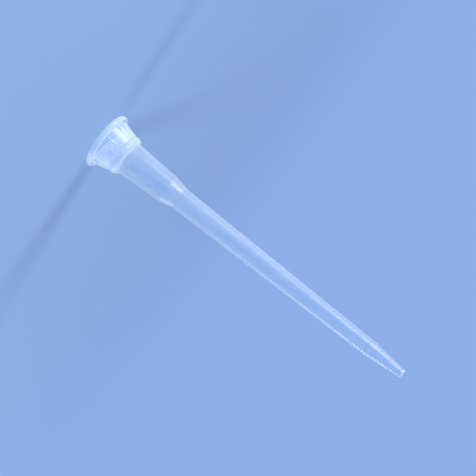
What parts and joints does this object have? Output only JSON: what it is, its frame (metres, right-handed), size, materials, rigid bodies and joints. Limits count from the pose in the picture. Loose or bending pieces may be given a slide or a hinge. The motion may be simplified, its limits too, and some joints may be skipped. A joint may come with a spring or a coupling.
{
  "type": "pipette tip",
  "caption": "Slim tapered pipette tip with a flanged, ribbed hub, a stepped socket, a long barrel and a fine open point.",
  "frame": {"origin": "centre of the mouth's rim face, which the tip stands on", "axes": "+Z along the bore from the mouth to the outlet, +X across the hub"},
  "size_m": [0.0052, 0.0052, 0.032],
  "materials": {
    "natural_polypropylene": "moulded natural polypropylene, milky and see-through, satin"
  },
  "bodies": {
    "root": {"tip": "natural_polypropylene"}
  },
  "joints": []
}
